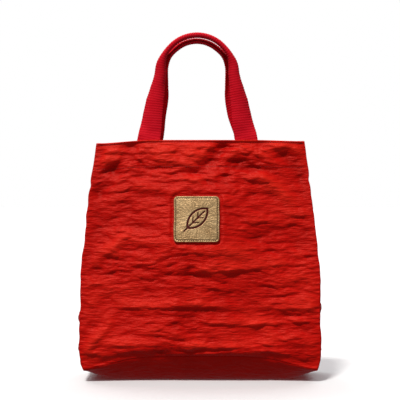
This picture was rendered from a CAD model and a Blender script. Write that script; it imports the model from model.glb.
import math

import bpy
import numpy as np
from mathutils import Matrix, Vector
from mathutils.bvhtree import BVHTree


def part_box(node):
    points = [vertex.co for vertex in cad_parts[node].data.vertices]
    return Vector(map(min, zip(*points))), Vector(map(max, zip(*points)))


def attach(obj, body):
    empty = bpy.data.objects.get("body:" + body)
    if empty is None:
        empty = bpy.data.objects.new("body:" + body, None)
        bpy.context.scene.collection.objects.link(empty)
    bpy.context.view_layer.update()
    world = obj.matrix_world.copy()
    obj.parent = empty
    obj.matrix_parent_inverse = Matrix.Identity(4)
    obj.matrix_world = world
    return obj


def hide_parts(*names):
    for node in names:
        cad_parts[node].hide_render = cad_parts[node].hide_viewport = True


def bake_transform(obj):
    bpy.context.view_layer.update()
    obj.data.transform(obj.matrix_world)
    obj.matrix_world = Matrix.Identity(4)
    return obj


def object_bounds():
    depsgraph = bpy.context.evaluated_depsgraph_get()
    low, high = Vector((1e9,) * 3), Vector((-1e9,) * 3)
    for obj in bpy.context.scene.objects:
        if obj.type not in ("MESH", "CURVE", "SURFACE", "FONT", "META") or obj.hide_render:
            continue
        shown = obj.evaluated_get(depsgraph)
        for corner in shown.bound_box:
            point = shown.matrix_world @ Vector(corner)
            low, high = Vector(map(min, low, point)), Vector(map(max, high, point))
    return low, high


# The looks of a soft red tote bag of crinkled nylon. Sizes are in millimetres until a
# mesh is made. The front faces -Y. Five surfaces make the bag: two walls, two gussets
# that fold in towards the mouth, and a boat-shaped base. Every cloth piece follows one.

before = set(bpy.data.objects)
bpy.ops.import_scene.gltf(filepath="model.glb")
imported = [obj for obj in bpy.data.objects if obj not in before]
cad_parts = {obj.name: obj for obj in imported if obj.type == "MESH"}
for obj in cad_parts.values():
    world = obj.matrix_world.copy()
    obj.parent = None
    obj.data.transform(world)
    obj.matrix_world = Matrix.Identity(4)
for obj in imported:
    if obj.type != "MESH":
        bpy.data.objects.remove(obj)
CAD_BOX = [list(corner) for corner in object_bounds()]
MM = 0.001

# ------------------------------------------------------------------- the bag's sizes
# They are the CAD's own, but for two that follow the photo: the gussets swell out less
# low down, and the back handle is pulled to the left.
TOP_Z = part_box("front_panel")[1].z / MM  # the rim
BASE_HALF_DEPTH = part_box("base_panel")[1].y / MM
WIDEST_Z, WIDEST_HALF, MOUTH_HALF, FOOT_HALF = 65.0, 161.3, 139.5, 155.0
MOUTH_HALF_DEPTH, WALL_BULGE, RIM_BULGE = 17.0, 14.0, 2.0
GUSSET_BULGE, GUSSET_SWELL_TOP, GUSSET_FOLD, GUSSET_FOLD_START = 2.2, 130.0, 44.0, 100.0
FLAT_HALF_X, FLAT_HALF_Y = 108.0, 22.0
BASE_RISE, BASE_END_RISE, BASE_CORNER_RISE = 33.0, 12.0, 2.0
HALF_SPAN, HANDLE_LEAN = 64.0, math.radians(4.8)
HINGE_Z = 324.0
WALL = {-1: "front", 1: "back"}  # a wall by its side of the bag
HAND = {-1: "left", 1: "right"}  # a gusset by its end of the bag
RIM_BODY = {-1: "front_wall", 1: "bag"}  # what carries a wall's rim
WALL_BODY = {-1: "both", 1: "bag"}  # the front wall itself bends between the two
HANDLE_X = {-1: -4.0, 1: -1.5}

CLOTH = 0.6  # thickness of the nylon
SEAM_ROLL = 3.0  # how far from a seam the cloth starts to roll into it
SEAM_SINK = 0.9  # how deep the seam lies


# ------------------------------------------------------------------------ small maths
def share(value, low, high):
    return np.clip((value - low) / (high - low), 0, 1)


def smooth(t):
    t = np.clip(t, 0, 1)
    return t * t * (3 - 2 * t)


def ease(value, low, high):
    """From 0 at low to 1 at high, smoothly."""
    return smooth(share(value, low, high))


def bump(distance, width):
    return np.exp(-(distance / width) ** 2)


def fade5(t):
    return t * t * t * (t * (t * 6 - 15) + 10)


def together(*values):
    """The values as arrays of one shape."""
    return np.broadcast_arrays(*(np.asarray(value, float) for value in values))


def noise(x, y, seed):
    """A smooth random field from about -1 to 1, with cells of size 1."""
    angle = np.random.default_rng(seed).uniform(0, 2 * math.pi, (128, 128))
    x, y = together(x, y)
    column, row = np.floor(x).astype(int), np.floor(y).astype(int)
    dx, dy = x - column, y - row
    total = np.zeros(x.shape)
    for i in (0, 1):
        for j in (0, 1):
            turn = angle[(column + i) % 128, (row + j) % 128]
            slope = np.cos(turn) * (dx - i) + np.sin(turn) * (dy - j)
            total += slope * fade5(1 - np.abs(dx - i)) * fade5(1 - np.abs(dy - j))
    return total * 1.6


def unit(vectors):
    return vectors / np.maximum(np.linalg.norm(vectors, axis=-1, keepdims=True), 1e-9)


def run_along(path):
    """The distance along a path to each of its points."""
    return np.concatenate([[0], np.cumsum(np.linalg.norm(np.diff(path, axis=0), axis=1))])


def points_at(at, run, path):
    """The points of a path that lie at these distances along it."""
    return np.stack([np.interp(at, run, values) for values in path.T], -1)


# ------------------------------------------------------------------ the bag's surfaces
def half_width(z):
    above = WIDEST_HALF - (WIDEST_HALF - MOUTH_HALF) * share(z, WIDEST_Z, TOP_Z) ** 1.58
    foot = BASE_END_RISE + BASE_CORNER_RISE
    below = WIDEST_HALF - (WIDEST_HALF - FOOT_HALF) * (1 - share(z, foot, WIDEST_Z)) ** 2.2
    return np.where(z > WIDEST_Z, above, below)


def gusset_swell(z):
    return GUSSET_BULGE * np.sin(math.pi * share(z, BASE_END_RISE, GUSSET_SWELL_TOP))


def gusset_fold(z):
    """How far the middle of a gusset is folded in."""
    return GUSSET_FOLD * ease(z, GUSSET_FOLD_START, TOP_Z)


def seam_x(z):
    return half_width(z) - gusset_swell(z)


def rise(z):
    return share(z, BASE_RISE, TOP_Z)


def seam_depth(z):
    return MOUTH_HALF_DEPTH + (BASE_HALF_DEPTH - MOUTH_HALF_DEPTH) * (1 - rise(z) ** 1.6)


def wall_bulge(z):
    return WALL_BULGE * np.sin(math.pi * rise(z) ** 0.8) + RIM_BULGE * rise(z)


def height_at(v, foot):
    """The height at a share v of the way from the foot to the rim."""
    return foot + (TOP_Z - foot) * v


def wall_depth(x, z):
    across = np.clip(np.abs(x) / seam_x(z), 0, 1)
    return seam_depth(z) + wall_bulge(z) * (1 - across ** 2)


def base_height(x, y):
    endways = share(np.abs(x), FLAT_HALF_X, FOOT_HALF)
    sideways = share(np.abs(y), FLAT_HALF_Y, BASE_HALF_DEPTH)
    middle = BASE_RISE - (BASE_RISE - BASE_CORNER_RISE) * (np.abs(x) / FOOT_HALF) ** 4
    return BASE_END_RISE * endways ** 2 + middle * sideways ** 1.6


def rim_drop(x, z):
    """The rim hangs a little lower at the corners than between the handles."""
    left = 4.5 * ease(-x, 62, 140)
    right = 1.5 * ease(x, 70, 140)
    return (left + right) * ease(z, 200, TOP_Z)


def seam_wobble(end, z):
    """How far a side seam wanders out, with a kink where a fold pulls it in."""
    wander = 0.7 * noise(z / 60, 3.5 + 2 * end, 71) + 0.3 * noise(z / 17, 9.5 + 2 * end, 72)
    kink = 0.9 * bump(z - (259 if end < 0 else 266), 5)
    ends = ease(z, 8, 40) * ease(TOP_Z - z, 0, 25)
    return (wander - kink) * ends


# -------------------------------------------------------------- crinkles and folds
# Folds of the front wall: two ends (x, z), then how far the fold reaches above and
# below its crest, and how high it stands. One with a height below zero is a valley.
FOLDS = [
    # from the left handle to the left edge
    ((-132, 291), (-112, 294), 13, 9, 3.2),
    ((-100, 290), (-50, 294), 18, 10, 4.2),
    ((-80, 321), (-112, 288), 11, 10, -5.4),
    ((-38, 291), (0, 286), 17, 9, 3.8),
    ((-58, 268), (-4, 265), 9, 7, 2.8),
    ((-92, 262), (-36, 247), 8, 7, 2.6),
    ((-150, 252), (-136, 250), 9, 8, -3.4),
    ((-40, 312), (10, 309), 5, 4, 2.0),
    ((-10, 297), (36, 294), 6, 4, 2.4),
    ((-122, 308), (-92, 304), 5, 4, 2.2),
    # under the right handle
    ((20, 306), (58, 302), 6, 5, 2.2),
    ((98, 313), (128, 309), 5, 4, 2.2),
    ((42, 320), (6, 282), 12, 13, -5.4),
    ((66, 318), (30, 266), 9, 9, -2.2),
    ((86, 316), (138, 270), 15, 12, -5.4),
    ((44, 297), (84, 300), 12, 9, 3.4),
    ((72, 321), (102, 309), 7, 6, 2.6),
    ((104, 309), (134, 304), 8, 6, 2.6),
    ((48, 270), (82, 268), 8, 7, 3.0),
    ((84, 267), (112, 246), 8, 9, 3.4),
    ((114, 280), (146, 272), 13, 9, 2.4),
    # beside and below the patch
    ((-104, 187), (-136, 160), 9, 8, 3.4),
    ((-108, 191), (-50, 186), 14, 9, 2.6),
    ((-20, 176), (52, 170), 12, 8, 2.0),
    ((60, 205), (118, 214), 13, 9, 2.2),
    ((-2, 146), (40, 147), 9, 2.4, 2.2),
    ((42, 147), (90, 152), 9, 2.4, 2.2),
    ((-150, 128), (-98, 120), 12, 9, 2.2),
    ((-96, 99), (8, 100), 10, 2.6, 2.6),
    ((4, 101), (46, 97), 9, 3.0, 2.2),
    ((82, 98), (158, 97), 9, 2.6, 2.6),
    ((8, 79), (74, 76), 8, 2.4, 2.2),
    ((74, 77), (137, 80), 8, 2.4, 2.0),
    ((-108, 50), (0, 49), 8, 2.2, 2.2),
    ((-8, 46), (97, 50), 7, 2.4, 2.2),
    ((-122, 74), (-152, 40), 9, 7, 3.0),
    ((96, 60), (150, 52), 10, 6, 2.0),
    ((-156, 22), (-146, 14), 6, 5, 1.6),
]

# The back wall's own folds, looser and fewer.
BACK_FOLDS = [
    ((-126, 292), (-84, 300), 13, 9, 3.0),
    ((56, 300), (116, 286), 12, 8, 3.2),
    ((-90, 262), (10, 270), 10, 7, 2.6),
    ((30, 236), (120, 222), 12, 8, 2.6),
    ((-140, 202), (-60, 186), 12, 8, 2.8),
    ((-40, 150), (90, 158), 10, 2.6, 2.6),
    ((60, 118), (150, 104), 10, 6, 2.6),
    ((-146, 96), (-20, 104), 10, 2.6, 2.6),
    ((-90, 64), (70, 58), 9, 2.4, 2.4),
    ((80, 78), (140, 44), 10, 7, 2.6),
]


# Each gusset's folds.
GUSSET_FOLDS = {
    -1: [
        ((-40, 84), (36, 96), 12, 7, 3.0),
        ((-30, 160), (24, 150), 12, 8, 2.6),
        ((-44, 44), (20, 40), 9, 5, 2.2),
    ],
    1: [
        ((-38, 96), (40, 82), 12, 7, 3.0),
        ((-24, 148), (34, 164), 12, 8, 2.6),
        ((-20, 38), (44, 46), 9, 5, 2.2),
    ],
}


def fold_height(across, up, folds):
    """How high all the folds stand. Each wanders a little and tapers off past its ends."""
    total = np.zeros(np.broadcast(across, up).shape)
    for (x1, z1), (x2, z2), above, below, height in folds:
        length = math.hypot(x2 - x1, z2 - z1)
        ax, az = (x2 - x1) / length, (z2 - z1) / length
        if ax < 0:
            (x1, z1), ax, az = (x2, z2), -ax, -az
        along = (across - x1) * ax + (up - z1) * az
        aside = (up - z1) * ax - (across - x1) * az
        aside = aside + 1.3 * noise(along / 17, aside / 30 + x1, 31)
        beyond = np.maximum(0, np.maximum(-along, along - length))
        taper = 5 + 0.9 * above
        profile = bump(aside, np.where(aside > 0, above, below))
        total += height * profile * bump(beyond, taper)
    return total


def creases(across, up, size, lean, sharp, seed):
    """Creases of one size (width, height) that lean over and have sharp ridges."""
    width, height = size
    leaning = up + lean * noise(across / width, up / height, seed)
    crease = noise(across / width, leaning / height, seed)
    return crease + sharp * (0.4 - np.abs(crease))


def crinkles(across, up, seed):
    """Crinkled nylon: sharp short creases that run across, each longer than it is high."""
    wander = 5.0 * noise(across / 62, up / 47, seed) + 1.8 * noise(across / 19, up / 17, seed + 1)
    t = up + wander
    broad = noise(across / 92, t / 36, seed + 2)
    upper = 0.11 * ease(up, 110, 200) + 0.6 * ease(up, 240, 295)
    busy = 0.74 + upper + 0.5 * noise(across / 75, up / 60, seed + 9)
    middle = creases(across, t, (38, 13), 3.4, 0.45, seed + 3)
    small = creases(across, t, (21, 6.4), 2.0, 0.5, seed + 4)
    fine = np.abs(noise(across / 13, (t + 0.4 * wander) / 3.8, seed + 5)) * 1.6 - 0.5
    return 2.1 * broad + busy * (1.6 * middle + 1.35 * small + 0.7 * fine)


# ---------------------------------------------------------------- stitch rows and hems
STITCH_PITCH = 3.2
RIM_STITCH_Z = TOP_Z - 3.0
FACING_STITCH_Z = TOP_Z - 35.5


def stitch_dimple(up, along, row):
    """The hollow along a stitch row, deepest at the stitches."""
    pucker = 0.75 + 0.25 * np.cos(2 * math.pi * along / STITCH_PITCH)
    return -0.42 * bump(up - row, 1.15) * pucker


PATCH_X, PATCH_Z, PATCH_HALF, PATCH_CORNER = -5.0, 213.2, 30.0, 5.0


def outside_patch(x, z):
    """Distance outside the patch's outline, negative inside it."""
    straight = PATCH_HALF - PATCH_CORNER
    dx = np.abs(x - PATCH_X) - straight
    dz = np.abs(z - PATCH_Z) - straight
    outer = np.hypot(np.maximum(dx, 0), np.maximum(dz, 0))
    return outer + np.minimum(np.maximum(dx, dz), 0) - PATCH_CORNER


HANDLE_DENT = {-1: 6.5, 1: 2.4}  # how deep the wall lies where a dropped handle rests on it
DENT_Z = 292.0
WALL_SEED = {-1: 11, 1: 41}
SAG_SEED = {-1: 81, 1: 91}
GUSSET_SEED = {-1: 51, 1: 61}
WALL_FOLDS = {-1: FOLDS, 1: BACK_FOLDS}


def handle_distances(side, x):
    """How far x is from the middle of each end of a wall's handle."""
    return [np.abs(x - HANDLE_X[side] - end * HALF_SPAN) for end in (-1, 1)]


def wall_relief(side, x, z, foot):
    """How far the crinkled cloth stands out from the smooth wall."""
    from_side = seam_x(z) - np.abs(x)
    from_rim = TOP_Z - z
    edge = smooth(from_side / 16) * smooth((z - foot + 1) / 9)
    near_rim = 0.12 + 0.88 * smooth((from_rim - 3) / 9)
    height = crinkles(x, z, WALL_SEED[side]) * (edge * near_rim)
    height = height + fold_height(x, z, WALL_FOLDS[side]) * edge * smooth((from_rim + 6) / 18)
    if side < 0:
        from_patch = outside_patch(x, z)
        height = height * (0.12 + 0.88 * ease(from_patch, -1, 7))
        height = height - 1.0 * (1 - ease(from_patch, 0, 4.5))
        height = height - 1.2 * bump(from_patch - 2.4, 2.0)
    ripple = np.sin(2 * math.pi * z / 7.5 + 2 * noise(z / 20, 0.5, 73))
    pucker = 0.35 * ripple * bump(from_side - 4, 4)
    hem = stitch_dimple(z, x, RIM_STITCH_Z) + 0.8 * stitch_dimple(z, x, FACING_STITCH_Z)
    bulk = 0.5 * ease(from_rim, 8, 5) + 1.6 * ease(from_rim, 4.0, 0.8)
    over_end = sum(ease(17.5 - away, 0, 3) for away in handle_distances(side, x))
    raised = 0.55 * over_end * ease(from_rim, 33, 28) * ease(from_side, 4, 20)
    under = sum(bump(away, 24) for away in handle_distances(side, x))
    dent = HANDLE_DENT[side] * under * bump(z - DENT_Z, 15)
    height = height + 2.0 * ease(z, 272, TOP_Z) * ease(from_side, 0, 30)
    return height + pucker + (hem + bulk) * ease(from_side, 1, 7) + raised - dent


def seam_roll(distance):
    """From 0 where the cloth is free to 1 at the seam that it rolls into."""
    t = 1 - share(distance, 0, SEAM_ROLL)
    return 1 - np.sqrt(np.maximum(0, 1 - t * t))


def tucked(points):
    """Rounds the bag's lower corners: low down, its ends draw in a little."""
    low = share(28 - points[..., 2], 0, 22) ** 2 * ease(np.abs(points[..., 0]), 110, 155)
    points[..., 0] -= np.sign(points[..., 0]) * 4.0 * low
    return points


def wall_foot(x):
    return base_height(x, BASE_HALF_DEPTH) + 0.2


def wall_point(side, x, z, inside=0.0):
    """A point of a wall's outer face, or that far inside it."""
    x, z, inside = together(x, z, inside)
    foot = wall_foot(np.clip(x, -FOOT_HALF, FOOT_HALF))
    edge = seam_x(z)
    across = x / edge
    depth = wall_depth(x, z) + wall_relief(side, x, z, foot) + sag(side, x, z)
    roll = seam_roll(edge - np.abs(x))
    low = seam_roll(z - foot)
    end = np.sign(x)
    wobble = seam_wobble(-1, z) * (across < 0) + seam_wobble(1, z) * (across > 0)
    rim = 0.5 * seam_roll((TOP_Z - z) * 3)
    place_x = x + end * (wobble * np.abs(across) ** 7 - SEAM_SINK * roll)
    place_y = side * (depth - SEAM_SINK * np.maximum(roll, low) - rim - inside)
    place_z = z - rim_drop(x, z) + 0.5 * low
    moved = settled(WALL[side], across, z, foot)
    return tucked(np.stack([place_x, place_y, place_z], -1) + moved)


def gusset_point(end, across, z, inside=0.0):
    """A point of a gusset's outer face: across runs from -1 at the front to 1."""
    across, z, inside = together(across, z, inside)
    fold = gusset_fold(z)
    folded_in = fold * (1 - np.abs(across) ** 1.3)
    swollen_out = gusset_swell(z) * (1 - across ** 2)
    depth = seam_depth(z)
    foot = base_height(FOOT_HALF, across * depth)
    from_seam = (1 - np.abs(across)) * depth + 0.35 * folded_in
    edge = smooth(from_seam / 12) * smooth((z - foot + 1) / 9)
    near_rim = 0.15 + 0.85 * smooth((TOP_Z - z - 3) / 15)
    run = across * (depth + 0.7 * fold)
    relief = crinkles(run, z, GUSSET_SEED[end]) + fold_height(run, z, GUSSET_FOLDS[end])
    height = (relief - 2.0) * edge * near_rim
    soften = 4 * bump(np.abs(across), 0.14) * ease(z, GUSSET_FOLD_START, 190)
    roll = seam_roll(from_seam)
    low = seam_roll(z - foot)
    rim = seam_roll((TOP_Z - z) * 1.5)
    by_seam = np.abs(across) ** 6
    x = seam_x(z) - folded_in + swollen_out + soften + height + seam_wobble(end, z) * across ** 2
    x = x - SEAM_SINK * np.maximum(roll, low) - inside - rim * (1 - by_seam)
    y = across * depth - np.sign(across) * (SEAM_SINK * roll + 1.3 * rim * by_seam)
    moved = settled(HAND[end], across, z, foot)
    return tucked(np.stack([end * x, y, z - rim_drop(end * x, z) + 0.5 * low], -1) + moved)


def sag(side, x, z):
    """The slow swelling and slackness that a hung bag's wall takes on."""
    free = smooth((seam_x(z) - np.abs(x)) / 60) * smooth((TOP_Z - z) / 50)
    return free * ease(z, 30, 80) * 3.2 * noise(x / 120 + 7, z / 78, SAG_SEED[side])


def base_point(x, y):
    """A point of the base's outer face. It rests on the floor, so it never sinks below."""
    from_end, from_side = FOOT_HALF - np.abs(x), BASE_HALF_DEPTH - np.abs(y)
    reach = np.minimum(from_end, from_side)
    roll = seam_roll(reach)
    calm = smooth(reach / 12) * ease(np.abs(y), FLAT_HALF_Y - 4, BASE_HALF_DEPTH - 6)
    relief = 0.8 * noise(x / 38, y / 13, 101) + 0.35 * noise(x / 13, y / 6, 102)
    drawn_x = np.sign(x) * SEAM_SINK * roll * (from_end < SEAM_ROLL)
    drawn_y = np.sign(y) * SEAM_SINK * roll * (from_side < SEAM_ROLL)
    z = np.maximum(base_height(x, y) - relief * calm, 0) + 0.7 * roll
    return tucked(np.stack([x - drawn_x, y - drawn_y, z], -1))


# --------------------------------------------------------------- cloth simulation
# A coarse tube of cloth, cut a little taller and wider than the space it stands in,
# settles under its own weight. How far it moved is then added to every cloth surface.
WALL_COLUMNS, GUSSET_COLUMNS, SIM_ROWS, SIM_FRAMES = 46, 14, 46, 34
CUT_TALLER, CUT_WIDER, MOST_MOVE = 1.045, 1.012, 7.0
HELD = {"facing": 0.6, "patch": 0.5, "seam": 0.6, "edge": 1}  # how firmly each is held
CLOTH_SETTINGS = {
    "quality": 6, "mass": 0.12, "air_damping": 3, "tension_stiffness": 18, "compression_stiffness": 18,
    "shear_stiffness": 6, "bending_stiffness": 0.35, "use_pressure": True, "uniform_pressure_force": 0.12,
    "vertex_group_mass": "held",
}
SETTLED = {}  # how far each side of the bag moved, as a grid


def bare_wall(side, u, v):
    """The smooth wall, at u (-1 to 1) across it and v (0 to 1) up it."""
    foot = base_height(u * FOOT_HALF, BASE_HALF_DEPTH)
    z = height_at(v, foot)
    x = u * seam_x(z)
    return np.stack([x, side * wall_depth(x, z), z], -1)


def bare_gusset(end, a, v):
    """The smooth gusset, in the same way."""
    foot = base_height(FOOT_HALF, a * BASE_HALF_DEPTH)
    z = height_at(v, foot)
    x = seam_x(z) - gusset_fold(z) * (1 - np.abs(a) ** 1.3) + gusset_swell(z) * (1 - a ** 2)
    return np.stack([end * x, a * seam_depth(z), z], -1)


def bare_tube():
    """The four sides' grids, round the bag from the front's left edge."""
    u = np.linspace(-1, 1, WALL_COLUMNS + 1)
    a = np.linspace(-1, 1, GUSSET_COLUMNS + 1)
    v = np.linspace(0, 1, SIM_ROWS + 1)
    return {
        "front": bare_wall(-1, *np.meshgrid(u, v)),
        "right": bare_gusset(1, *np.meshgrid(a, v)),
        "back": bare_wall(1, *np.meshgrid(u[::-1], v)),
        "left": bare_gusset(-1, *np.meshgrid(a[::-1], v)),
    }


def hold_weights(start, seams):
    """How firmly each point is held while the cloth settles."""
    hold = np.zeros(start.shape[:2])
    hold[start[..., 2] > FACING_STITCH_Z - 0.5] = HELD["facing"]
    in_patch = (outside_patch(start[..., 0], start[..., 2]) < 3) & (start[..., 1] < 0)
    hold[in_patch] = HELD["patch"]
    hold[:, seams] = HELD["seam"]
    hold[[0, -1]] = HELD["edge"]
    return hold


def settling_cloth(start, hold):
    """The tube before it settles: rippled a little, and cut larger than the space it has."""
    rows, columns = start.shape[:2]
    ripple = noise(start[..., 0] / 30, start[..., 2] / 16, 171)[..., None]
    ripple = ripple * np.sin(math.pi * np.linspace(0, 1, rows))[:, None, None]
    pushed = start + unit(start * [1, 1, 0]) * ripple * 1.2
    obj = make_mesh("settling_cloth", pushed.reshape(-1, 3), tube_faces(rows, columns))
    obj.shape_key_add(name="Basis")
    cut = obj.shape_key_add(name="cut")
    larger = start * [CUT_WIDER, CUT_WIDER, CUT_TALLER]
    cut.data.foreach_set("co", (larger * MM).astype(np.float32).ravel())
    group = obj.vertex_groups.new(name="held")
    for weight in np.unique(hold[hold > 0]):
        group.add([int(i) for i in np.flatnonzero(hold == weight)], float(weight), "REPLACE")
    cloth = obj.modifiers.new("cloth", "CLOTH")
    for key, value in CLOTH_SETTINGS.items():
        setattr(cloth.settings, key, value)
    cloth.settings.rest_shape_key = cut
    cloth.collision_settings.use_collision = False
    cloth.point_cache.frame_start, cloth.point_cache.frame_end = 1, SIM_FRAMES
    return obj


def settle_cloth():
    """Fills SETTLED with each side's moves, then removes the tube."""
    parts = bare_tube()
    start = np.concatenate([grid[:, :-1] for grid in parts.values()], 1)
    seams = np.cumsum([0] + [grid.shape[1] - 1 for grid in parts.values()])
    obj = settling_cloth(start, hold_weights(start, seams[:-1]))
    for number in range(1, SIM_FRAMES + 1):
        bpy.context.scene.frame_set(number)
    after = obj.evaluated_get(bpy.context.evaluated_depsgraph_get())
    co = np.zeros(start.size, np.float32)
    after.data.vertices.foreach_get("co", co)
    moved = co.reshape(start.shape).astype(float) / MM - start
    size = np.linalg.norm(moved, axis=-1, keepdims=True)
    moved *= np.minimum(1, MOST_MOVE / np.maximum(size, 1e-9)) ** 0.8
    bpy.context.scene.frame_set(1)
    bpy.data.objects.remove(obj)
    moved = np.concatenate([moved, moved[:, :1]], 1)
    for name, begin, end in zip(parts, seams, seams[1:]):
        part = moved[:, begin:end + 1]
        SETTLED[name] = part[:, ::-1] if name in ("back", "left") else part


def settled(name, across, z, foot):
    """How far a side moved as it settled, at a share across it (-1 to 1) and a height."""
    field = SETTLED[name]
    rows, columns = field.shape[:2]
    column = (np.clip(across, -1, 1) + 1) / 2 * (columns - 1)
    row = share(z, foot, TOP_Z) * (rows - 1)
    i, j = np.floor(column).astype(int), np.floor(row).astype(int)
    s, t = column - i, row - j
    total = 0
    for di in range(-1, 3):
        for dj in range(-1, 3):
            weight = cubic_weight(s - di) * cubic_weight(t - dj)
            near = field[np.clip(j + dj, 0, rows - 1), np.clip(i + di, 0, columns - 1)]
            total = total + weight[..., None] * near
    return total


def cubic_weight(distance):
    """How much a grid value counts at a distance, for a smooth curve through all of them."""
    d = np.abs(distance)
    near = 1 - 2.5 * d ** 2 + 1.5 * d ** 3
    far = 2 - 4 * d + 2.5 * d ** 2 - 0.5 * d ** 3
    return np.where(d < 1, near, np.where(d < 2, far, 0))


# --------------------------------------------------------------------- making meshes
def collection_link(obj):
    bpy.context.scene.collection.objects.link(obj)
    return obj


def grid_faces(rows, columns):
    index = np.arange(rows * columns).reshape(rows, columns)
    corners = [index[:-1, :-1], index[:-1, 1:], index[1:, 1:], index[1:, :-1]]
    return np.stack([c.ravel() for c in corners], -1)


def tube_faces(rings, sides):
    """Faces between rings of points that follow one another."""
    here = np.arange((rings - 1) * sides).reshape(-1, sides)
    beside = np.roll(here, -1, 1)
    return np.stack([here, beside, beside + sides, here + sides], -1).reshape(-1, 4)


def border(rows, columns):
    """The points round a grid's edge, in the order of its faces' corners."""
    index = np.arange(rows * columns).reshape(rows, columns)
    return np.concatenate([index[0, :-1], index[:-1, -1], index[-1, :0:-1], index[:0:-1, 0]])


def grid_normals(points):
    return unit(np.cross(np.gradient(points, axis=1), np.gradient(points, axis=0)))


def make_mesh(name, points, faces, uv=None, values=None):
    """A mesh from points in millimetres and faces that all have the same number of corners."""
    faces = np.asarray(faces, np.int32)
    mesh = bpy.data.meshes.new(name)
    mesh.vertices.add(len(points))
    mesh.vertices.foreach_set("co", (np.asarray(points) * MM).astype(np.float32).ravel())
    mesh.loops.add(faces.size)
    mesh.loops.foreach_set("vertex_index", faces.ravel())
    mesh.polygons.add(len(faces))
    mesh.polygons.foreach_set("loop_start", np.arange(0, faces.size, faces.shape[1], dtype=np.int32))
    mesh.polygons.foreach_set("use_smooth", np.ones(len(faces), bool))
    mesh.update(calc_edges=True)
    if uv is not None:
        layer = mesh.uv_layers.new(name="cloth")
        layer.data.foreach_set("uv", (uv[faces.ravel()] * MM).astype(np.float32).ravel())
    if values is not None:
        attribute = mesh.attributes.new("relief", "FLOAT", "POINT")
        attribute.data.foreach_set("value", np.asarray(values, np.float32).ravel())
    mesh.validate()
    return collection_link(bpy.data.objects.new(name, mesh))


def closed_sheet(name, outer, inner, u, v, values=None):
    """A sheet from the grids of its two faces. Seen from outside, the outer one's columns
    run to the right and its rows run up."""
    rows, columns = outer.shape[:2]
    count = rows * columns
    grid, edge = grid_faces(rows, columns), border(rows, columns)
    following = np.roll(edge, -1)
    rim = np.stack([edge, edge + count, following + count, following], -1)
    faces = np.concatenate([grid, grid[:, ::-1] + count, rim])
    points = np.concatenate([outer.reshape(-1, 3), inner.reshape(-1, 3)])
    uv = np.stack(np.broadcast_arrays(u, v), -1).reshape(-1, 2)
    if values is not None:
        values = np.tile(np.broadcast_to(values, (rows, columns)).ravel(), 2)
    return make_mesh(name, points, faces, np.concatenate([uv, uv]), values)


def cloth_piece(name, points, u, v, thickness=CLOTH, values=None):
    """A closed sheet from a grid of its outer face and its thickness."""
    thickness = np.broadcast_to(thickness, points.shape[:2])[..., None]
    return closed_sheet(name, points, points - grid_normals(points) * thickness, u, v, values)


def spaced(low, high, step, fine_ends=0.0):
    """Evenly spaced values, with a few close ones by each end for a rolled edge."""
    values = np.linspace(low, high, max(2, int(round((high - low) / step)) + 1))
    if fine_ends:
        close = np.array([0.35, 0.8, 1.5, 2.3, 3.2]) * fine_ends
        values = np.concatenate([values, low + close, high - close])
    return np.unique(np.round(values, 5))


# ------------------------------------------------------------------------- materials
def srgb(red, green, blue):
    def linear(c):
        c /= 255
        return c / 12.92 if c <= 0.04045 else ((c + 0.055) / 1.055) ** 2.4
    return (linear(red), linear(green), linear(blue), 1)


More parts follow.
